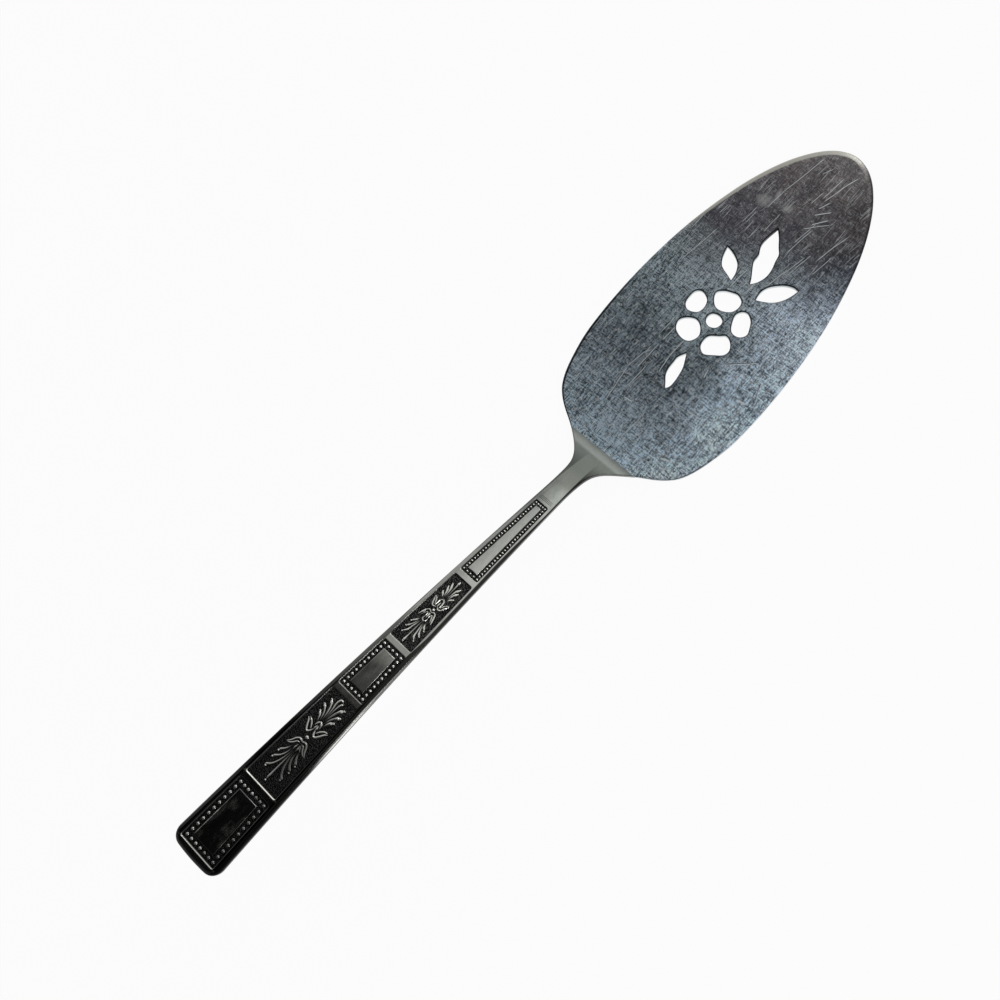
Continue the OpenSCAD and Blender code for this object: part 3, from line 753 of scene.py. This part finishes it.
def bladeSteel():
    made, shader, place, x, y = newMaterial("bladeSteel")
    specks = place.noise((3.8, 3.8, 1.0), 0.0, 0.5, seed=2.0)
    grain = place.noise((0.7, 0.8, 1.0), 2.0, 0.7)
    along = place.noise((0.4, 3.4, 1.0), 1.0, 0.6, seed=3.0)
    across = place.noise((3.4, 0.45, 1.0), 1.0, 0.6, seed=7.0)
    cloud = place.noise((0.16, 0.2, 0.2), 3.0, 0.55, seed=11.0)
    wander = place.noise((0.05, 0.05, 0.05), 2.0, 0.5, seed=23.0)
    patch = place.noise((0.08, 0.095, 0.1), 4.0, 0.6, twist=0.8, seed=71.0)
    drift = 6 * (cloud - 0.5)
    tipSide = (x + 0.3 * y + 9 * (wander - 0.5) + drift + 18 * (patch - 0.5)).step(*blade["tipFrom"])
    near = 0 - y
    lowSide = (near + 12 * (wander - 0.5) + drift + 20 * (patch - 0.5)).step(*blade["lowerFrom"])
    worn = 1 - 0.62 * tipSide
    moved = (x + 8 * (cloud - 0.5) + 30 * (patch - 0.5)) / blade["reach"]

    def ramp(name):
        stops = [(px / blade["reach"], colour) for px, colour in blade[name]]
        return x.node("ShaderNodeValToRGB", {"stops": stops}, {0: moved})

    # The near side is painted lighter than the far side (painted reflection), and the tip darker towards its
    # near edge.
    base = lowSide.mix(ramp("upper"), ramp("lower"))
    base = tipSide.mix(base, ramp("tip").tint(1 - 0.36 * near.step(*blade["tipDarkens"])))
    by = blade["contrast"]
    brushed = by["specks"] * (specks - 0.5) + by["grain"] * (grain - 0.5)
    brushed = brushed + by["across"] * (across - 0.5) + by["along"] * (along - 0.5)
    clouded = by["cloud"] * (cloud - 0.5) + by["patch"] * (patch - 0.5)
    tone = worn * brushed + (1.0 - 0.5 * tipSide) * clouded
    base = base.tint((2 ** tone).between(0.2, 1.75))

    # Hairlines lie all ways at the heel and mostly along the blade at the tip.
    def hairlines(name):
        return sum(dashes(place, *line) for line in blade[name])

    fine, gouges, long = hairlines("fine"), hairlines("gouges"), hairlines("long")
    light = (0.6 * fine * worn * (0.3 + 1.2 * cloud) + 0.8 * cloud * long).between(0.0, 0.85)
    dark = 0.85 * gouges * worn * (0.2 + 1.4 * cloud)
    pits = place.noise((1.5, 1.7, 1.0), 3.0, 0.7, seed=17.0).step(0.6, 0.68) * cloud.step(0.45, 0.6) * worn
    dark = (dark + 0.85 * pits).between(0.0, 0.9)
    base = dark.mix(base, blade["dark"])
    base = light.mix(base, blade["light"])

    # Scuffs and the long scratches, which lie where use has left them.
    bentY = y + 1.6 * (wander - 0.5) + 0.5 * (cloud - 0.5)
    streaks = place.noise((0.5, 1.4, 1.0), 2.0, 0.7, twist=1.0, seed=61.0)
    scuffed = 0
    for middle, size in blade["scuffs"]:
        at = place.node("ShaderNodeMapping", {"vector_type": "TEXTURE"}, {
            "Vector": place, "Location": (*middle, 0), "Rotation": (0, 0, 0.3), "Scale": (*size, 100)})
        far = at.node("ShaderNodeVectorMath", {"operation": "LENGTH"}, {0: at}, 1)
        scuffed = scuffed + (1 - (far + 2.8 * (streaks - 0.5)).step(0.4, 1.3))
    base = (0.8 * scuffed * streaks.step(0.25, 0.6)).mix(base, blade["scuff"])
    marks = 0
    for line in blade["scratches"]:
        marks = marks + scratch(x, bentY, *line)
    for line in blade["darkScratches"]:
        marks = marks - scratch(x, bentY, *line)
    shades = (-0.8 * marks).between(0.0, 0.85)
    cuts = (marks * (1.2 + 1.4 * streaks)).between(0.0, 0.95)
    base = shades.mix(base, blade["dark"])
    base = cuts.mix(base, blade["light"])

    # The rim is worn and painted pale as a highlight round the tip's far side, and painted black as shade at
    # the heel and the near side, and so are the pressed edges of the holes. The plate's walls carry a painted
    # highlight but at the tip painted shade.
    deep = place.node("ShaderNodeAttribute", {"attribute_name": "deep"}, output=2)
    size = y.calc("ABSOLUTE", y)
    pierced = (1 - size.step(*blade["holesSide"])) * x.step(*blade["holesFrom"])
    pierced = pierced * (1 - x.step(*blade["holesTo"]))
    rimmed = deep.step(0.004, 0.04) * (1 - pierced)
    wornRimSheen = rimmed * (x - 0.35 * y).step(*blade["wornRimSheenFrom"]) * (y + 0.1 * x).step(*blade["wornRimSheenSide"])
    base = (0.8 * wornRimSheen).mix(base, blade["worn"])
    heelRim = rimmed * (1 - x.step(*blade["heelRimTo"])) * y.step(*blade["heelRimSide"])
    nearRim = deep.step(0.1, 0.26) * (1 - pierced) * near.step(*blade["nearRimSide"])
    nearRim = nearRim * (0.75 - 0.5 * x.step(*blade["nearRimFades"]) + 0.4 * x.step(*blade["nearRimReturns"]))
    stamped = deep.step(0.003, 0.05) * pierced
    base = (0.9 * heelRim + nearRim + 0.85 * stamped).between(0.0, 0.94).mix(base, blade["shadowed"])
    wall = deep.step(0.45, 0.6)
    base = wall.mix(base, x.step(*blade["brightWallTo"]).mix(blade["wall"], blade["brightWall"]))
    wired(made.node_tree, base, shader.inputs["Base Color"])
    shader.inputs["Metallic"].default_value = 1.0
    rough = 0.58 - 0.08 * tipSide + 0.25 * (grain - 0.5) + 0.15 * (cloud - 0.5) - 0.1 * wornRimSheen
    wired(made.node_tree, rough.between(0.2, 0.75), shader.inputs["Roughness"])
    height = 0.6 * specks + 0.8 * grain + 0.4 * along + 0.3 * across
    bump = height.node("ShaderNodeBump", None, {"Strength": 0.5, "Distance": 0.00008, "Height": height})
    wired(made.node_tree, bump, shader.inputs["Normal"])
    return made


# Neck and handle: satin at the neck, then polished; its tone along the length is painted reflection, darkest
# towards the end.
handle = {
    "reach": 148,
    "steel": [(-147, rgb(104, 104, 103)), (-112, rgb(104, 103, 101)), (-95, rgb(140, 139, 136)),
              (-80, rgb(176, 176, 171)), (-50, rgb(190, 191, 186)), (-25, rgb(182, 185, 180)),
              (-18, rgb(156, 160, 154)), (-15, rgb(121, 124, 118)), (-12, rgb(108, 111, 105)),
              (-9, rgb(95, 99, 94)), (-6, rgb(103, 107, 102)), (-3, rgb(115, 119, 114)),
              (-1, rgb(160, 165, 161))],
    "wall": rgb(66, 67, 66), "groove": rgb(40, 42, 42), "shadowed": rgb(56, 57, 54),
    "glint": rgb(238, 238, 234), "paleHighlight": rgb(245, 243, 235), "nearDark": rgb(44, 44, 43),
    "underNeck": rgb(34, 35, 34),
    # How much of its light the border keeps along the handle: far edge, far inside.
    "farEdge": [(-147, 0.7), (-131, 0.4), (-121, 0.02), (-110, 0.01), (-101, 0.04), (-91, 0.2),
                (-79, 0.24), (-67, 0.13), (-60, 0.18), (-50, 0.5), (-39, 0.38), (-28, 0.3), (-10, 0.5)],
    "farInside": [(-147, 0.36), (-130, 0.4), (-119, 0.03), (-108, 0.03), (-101, 0.2), (-84, 0.3),
                  (-72, 0.3), (-64, 0.8), (-40, 0.9), (-26, 0.72), (-10, 1.0)],
    "neckFrom": (-24, -14), "heelFrom": (-5, -1),
    "slantFrom": (-13, -17), "slantHalves": (-24, -28), "slantTo": (-50, -60),
    "linesMiddle": -21.42, "linesHalfStep": 0.21, "linesFrom": (-22.1, -22), "linesTo": (-20.85, -20.75),
    "bandFrom": (-3, -12), "bandWidens": (-22, -44), "bandWidensMore": (-68, -80),
    "bandPales": (-36, -28), "bandDarkens": (-70, -82),
    "glintFrom": (-72, -80), "glintPeaks": (-88, -100), "glintTo": (-114, -104),
    # Across the handle's length: from, to, strength.
    "lipHighlights": [((-123.95, -123.8), (-123.4, -123.3), 1), ((-145.6, -145.45), (-145.1, -145.0), 0.4)],
    # From, to, how far from the middle line.
    "darkerPlaque": ((-91, -90.6), (-78.6, -78.2), (2.6, 2.9)),
    "plaqueReflection": ((-143, -141), (-132, -129), (3.6, 4.4)),
    "darkWallFrom": (-78, -90),
}


def handleSteel():
    made, shader, place, x, y = newMaterial("handleSteel")
    cloud = place.noise((0.16, 0.3, 0.2), 4.0, 0.6, seed=5.0)
    fine = place.noise((1.0, 3.0, 1.0), 3.0, 0.6, seed=9.0)
    size = y.calc("ABSOLUTE", y)
    reach = handle["reach"]

    def ramp(values):
        stops = [((px + reach) / reach, value) for px, value in values]
        return x.node("ShaderNodeValToRGB", {"stops": stops}, {0: (x + reach) / reach})

    def greyRamp(values):
        return ramp([(px, (v, v, v, 1)) for px, v in values])

    def stretch(start, end):
        return x.step(*start) * (1 - x.step(*end))

    def plaqueArea(start, end, side):
        return stretch(start, end) * (1 - size.step(*side))

    base = ramp(handle["steel"])
    base = base.tint((1 + 0.6 * (cloud - 0.5) + 0.4 * (fine - 0.5)).between(0.4, 1.5))
    # Painted shade: across the neck and the handle's start the far side is darker and the near side lighter.
    slant = 0.17 * x.step(*handle["slantFrom"]) * (1 - 0.5 * x.step(*handle["slantHalves"]))
    slant = slant * (1 - x.step(*handle["slantTo"]))
    base = base.tint(1 - y.between(-1.5, 1.5) * slant)
    deep = place.node("ShaderNodeAttribute", {"attribute_name": "deep"}, output=2)
    fromMiddle = x - handle["linesMiddle"]
    lines = fromMiddle.calc("PINGPONG", fromMiddle, handle["linesHalfStep"]).step(0.13, 0.04)
    lines = lines * stretch(handle["linesFrom"], handle["linesTo"])
    groove = lines * (1 - (size + 0.7 * (cloud - 0.5)).step(1.7, 2.5))
    base = (0.75 * groove).mix(base, handle["groove"])

    # The borders are bowed, with painted shade: dark along the near side, and darker than the ridges on the
    # far side.
    inside = plate["neckWidth"] / 2 - handleGrow * (x - plate["neckX"]) / handleRun - size
    kept = inside.step(0.38, 0.58).mix(greyRamp(handle["farEdge"]), greyRamp(handle["farInside"]))
    kept = (inside.step(1.75, 1.45) * x.step(-1, -9)).mix((1, 1, 1, 1), kept)
    farSide = y.step(-0.3, 0.3)
    dimmed = base.node("ShaderNodeMix", {"data_type": "RGBA", "blend_type": "MULTIPLY"}, {
        0: 1.0, 6: base, 7: kept}, 2)
    base = farSide.mix(base, dimmed)
    wide = 0.16 + 0.56 * x.step(*handle["bandWidens"]) + 0.9 * x.step(*handle["bandWidensMore"])
    nearBand = (inside - wide).step(0.25, 0) * (1 - farSide) * x.step(*handle["bandFrom"])
    shade = x.step(*handle["bandPales"]).mix(handle["shadowed"], handle["underNeck"])
    shade = x.step(*handle["bandDarkens"]).mix(shade, handle["nearDark"])
    base = nearBand.mix(base, shade)
    glint = inside.step(0.36, 0.22) * (1 - farSide) * x.step(*handle["glintTo"])
    glint = glint * (0.2 + 0.8 * x.step(*handle["glintPeaks"])) * x.step(*handle["glintFrom"])
    base = glint.mix(base, handle["glint"])

    # The panels' side walls are black, and two panels have a thin painted highlight on the lip at their left.
    sunk = deep.step(0.12, 0.26) * inside.step(0.8, 0.95)
    base = (0.9 * sunk).mix(base, handle["nearDark"])
    lipHighlights = sum(strength * stretch(start, end) for start, end, strength in handle["lipHighlights"])
    base = (lipHighlights * inside.step(1.2, 1.5) * (1 - sunk)).mix(base, handle["paleHighlight"])

    # The middle plaque is painted darker, most towards the end and in clouds (painted reflection), and the
    # end plaque has a painted pale reflection.
    darkerPlaque = plaqueArea(*handle["darkerPlaque"])
    base = base.tint(1 - darkerPlaque * (0.46 - 0.3 * x.step(-84, -79) + 1.5 * (cloud - 0.5)))
    plaqueReflection = cloud.step(0.46, 0.66) * plaqueArea(*handle["plaqueReflection"])
    base = plaqueReflection.mix(base, handle["paleHighlight"])
    # The outer side walls get painted shade, darkest towards the end.
    wall = deep.step(0.82, 0.95)
    base = wall.mix(base, x.step(*handle["darkWallFrom"]).mix(handle["wall"], handle["underNeck"]))
    wired(made.node_tree, base, shader.inputs["Base Color"])
    shader.inputs["Metallic"].default_value = 1.0
    neck = x.step(*handle["neckFrom"])
    rough = 0.14 + 0.24 * neck + 0.25 * (cloud - 0.4) * (0.4 + 0.6 * neck) + 0.08 * (fine - 0.5)
    rough = rough + 0.1 * x.step(*handle["heelFrom"])
    wired(made.node_tree, rough.between(0.08, 0.55), shader.inputs["Roughness"])
    height = cloud * 0.4 + fine * 0.3 - 4 * groove
    bump = height.node("ShaderNodeBump", None, {"Strength": 0.06, "Distance": 0.00004, "Height": height})
    wired(made.node_tree, bump, shader.inputs["Normal"])
    return made


# Panel floors: blackened and punched all over with fine dots.
def blackenedFloor():
    looks = {"black": rgb(12, 12, 13), "worn": rgb(80, 81, 79), "dots": 2.9}
    made, shader, place, x, _ = newMaterial("blackenedFloor")
    dots = place.node("ShaderNodeTexVoronoi", {"feature": "SMOOTH_F1"}, {
        "Vector": place, "Scale": looks["dots"], "Smoothness": 0.3})
    deep = place.node("ShaderNodeAttribute", {"attribute_name": "deep"}, output=2)
    onFloor = deep.step(0.3, 0.42)
    raised = dots.step(0.25, 0.75) * onFloor
    lit = x.step(-147, -40)
    base = ((0.25 + 0.75 * lit) * raised).mix(looks["black"], looks["worn"])
    wired(made.node_tree, base, shader.inputs["Base Color"])
    shader.inputs["Metallic"].default_value = 1.0
    shader.inputs["Roughness"].default_value = 0.32
    bump = dots.node("ShaderNodeBump", None, {"Strength": 0.9, "Distance": 0.00016, "Height": raised})
    wired(made.node_tree, bump, shader.inputs["Normal"])
    return made


# Beads and palmettes: polished on top, black where they meet the floor (partly the blackened patina, partly
# painted shade), and dimmer towards the handle's end (painted reflection).
def reliefSteel():
    looks = {"black": rgb(16, 16, 17), "bright": rgb(228, 229, 222), "dim": rgb(168, 168, 164)}
    made, shader, place, x, y = newMaterial("reliefSteel")
    deep = place.node("ShaderNodeAttribute", {"attribute_name": "deep"}, output=2)
    high = 1 - deep.step(0.16, 0.36)
    bright = x.step(-135, -60).mix(looks["dim"], looks["bright"])
    # Painted shade on the near side, from the middle of the large fan to the handle's end.
    nearHalfShade = 0.55 * x.step(-107.5, -108.5) * (0 - y).step(0.2, 0.6)  # half a fan
    base = high.mix(looks["black"], bright.tint(1 - nearHalfShade))
    wired(made.node_tree, base, shader.inputs["Base Color"])
    shader.inputs["Metallic"].default_value = 1.0
    shader.inputs["Roughness"].default_value = 0.22
    return made


materials = [bladeSteel(), handleSteel(), blackenedFloor(), reliefSteel()]
for material in materials:
    server.data.materials.append(material)
plaqueBoxes = [panelCorners(i, lane - 0.2) for i, lane, *_ in beadRows]
stands = server.data.attributes["stands"].data
deep = server.data.attributes["deep"].data


def within(box, x, y):
    (x0, _), _, (x1, y1), (_, y0) = box
    return x0 < x < x1 and abs(y) < y0 + (y1 - y0) * (x - x0) / (x1 - x0)


def finishOf(face):  # its material's number
    points = [server.data.vertices[k].co for k in face.vertices]
    x = sum(p.x for p in points) / len(points) / mm - heelShift
    y = sum(p.y for p in points) / len(points) / mm
    if stands[face.vertices[0]].value > 0.5:
        return 1 if any(within(box, x, y) for box in plaqueBoxes) else 3
    if x > 0:
        return 0
    depth = max(deep[k].value for k in face.vertices)
    inPanels = abs(y) < panelY(x) + 0.05 and panelX(0) - 0.1 < x < -15
    return 2 if inPanels and 0.38 < depth < 0.6 else 1


for face in server.data.polygons:
    face.material_index = finishOf(face)
print("finishes set")

stage = {"floorSize": 3.0, "floorGap": 0.0002, "shadow": 0.05}
bpy.ops.object.select_all(action="DESELECT")
bpy.ops.mesh.primitive_plane_add(size=stage["floorSize"], location=(0, 0, -stage["floorGap"]))
floor = bpy.context.object
floor.name = "floor"
paper = bpy.data.materials.new("paper")
paper.use_nodes = True
tree = paper.node_tree
tree.nodes.clear()
start = Signal(tree)
path = tree.nodes.new("ShaderNodeLightPath")
seen = Signal(tree, path.outputs["Is Camera Ray"]) + Signal(tree, path.outputs["Is Glossy Ray"]) \
    + Signal(tree, path.outputs["Is Transmission Ray"])
plain = start.node("ShaderNodeBsdfDiffuse", None, {"Color": (0.85, 0.85, 0.85, 1)})
glow = start.node("ShaderNodeEmission", None, {"Color": (1, 1, 1, 1), "Strength": 1.0})
mixed = start.node("ShaderNodeMixShader", None, {
    0: seen.between(0.0, 1.0) * (1 - stage["shadow"]), 1: plain, 2: glow})
output = tree.nodes.new("ShaderNodeOutputMaterial")
tree.links.new(mixed.socket, output.inputs["Surface"])
floor.data.materials.append(paper)

# Soft studio: a pale room beyond the tip, dark behind the handle's end and overhead.
room = {
    "darkTowards": (-0.02, 0.285), "darkReach": (0.31, 0.2), "dark": 0.012,
    "behind": 0.07, "behindLow": 0.3, "open": 0.66, "low": 0.42, "lowBright": 0.95,
}
world = bpy.data.worlds.new("studio")
bpy.context.scene.world = world
world.use_nodes = True
tree = world.node_tree
tree.nodes.clear()
start = Signal(tree)
way = start.node("ShaderNodeTexCoord", output=0)
way = way.node("ShaderNodeVectorMath", {"operation": "NORMALIZE"}, {0: way})
wayX = way.node("ShaderNodeSeparateXYZ", None, {0: way})
wayY, wayZ = (Signal(tree, wayX.socket.node.outputs[k]) for k in (1, 2))
acrossDark = (wayX - room["darkTowards"][0]) / room["darkReach"][0]
alongDark = (wayY - room["darkTowards"][1]) / room["darkReach"][1]
inDark = (1 - (acrossDark ** 2 + alongDark ** 2).step(0.65, 1.45)) * wayZ.step(0.3, 0.6)
corner = (0.707 * wayX + 0.707 * wayY).step(0.6, 0.95)
low = room["low"] + (room["lowBright"] - room["low"]) * corner
light = low + (room["open"] - low) * wayZ.step(0.1, 0.55)
beyond = (wayX + 0.25 * wayY).step(-0.1, 0.24)
behind = room["behindLow"] + (room["behind"] - room["behindLow"]) * wayZ.step(0.4, 0.65)
light = behind + (light - behind) * beyond
light = light + (room["dark"] - light) * inDark
path = tree.nodes.new("ShaderNodeLightPath")
camera = Signal(tree, path.outputs["Is Camera Ray"])
strength = camera + (1 - camera) * light
background = tree.nodes.new("ShaderNodeBackground")
background.inputs["Color"].default_value = (1, 1, 1, 1)
tree.links.new(strength.socket, background.inputs["Strength"])
output = tree.nodes.new("ShaderNodeOutputWorld")
tree.links.new(background.outputs[0], output.inputs["Surface"])


def softbox(name, at, aim, size, watts):
    lamp = bpy.data.lights.new(name, "AREA")
    lamp.shape, lamp.size, lamp.size_y, lamp.energy = "RECTANGLE", size[0], size[1], watts
    ob = bpy.data.objects.new(name, lamp)
    bpy.context.scene.collection.objects.link(ob)
    ob.location = at
    ob.rotation_euler = (Vector(aim) - Vector(at)).to_track_quat("-Z", "Y").to_euler()


softbox("keyLight", (1.0, 0.14, 0.6), (0, 0, 0), (0.28, 0.28), 1.6)
softbox("bevelLight", (0.047, -0.645, 0.375), (-0.08, 0, 0.03), (0.08, 0.3), 0.9)

view = {
    "place": (-0.01090, -0.08290, 0.30394), "right": (0.65417, -0.72054, -0.23003),
    "ahead": (-0.00104, 0.30327, -0.95290), "lens": 39.6, "sensor": 36, "sees": (0.01, 20),
}
lens = bpy.data.cameras.new("camera")
lens.sensor_width, lens.lens = view["sensor"], view["lens"]
lens.clip_start, lens.clip_end = view["sees"]
camera = bpy.data.objects.new("camera", lens)
bpy.context.scene.collection.objects.link(camera)
ahead = Vector(view["ahead"]).normalized()
right = Vector(view["right"])
right = (right - right.dot(ahead) * ahead).normalized()
up = right.cross(ahead)
turn = Matrix((right, up, -ahead)).transposed().to_4x4()
camera.matrix_world = Matrix.Translation(view["place"]) @ turn
bpy.context.scene.camera = camera
bpy.context.scene.view_settings.view_transform = "Standard"
print("stage, lamps and camera set")
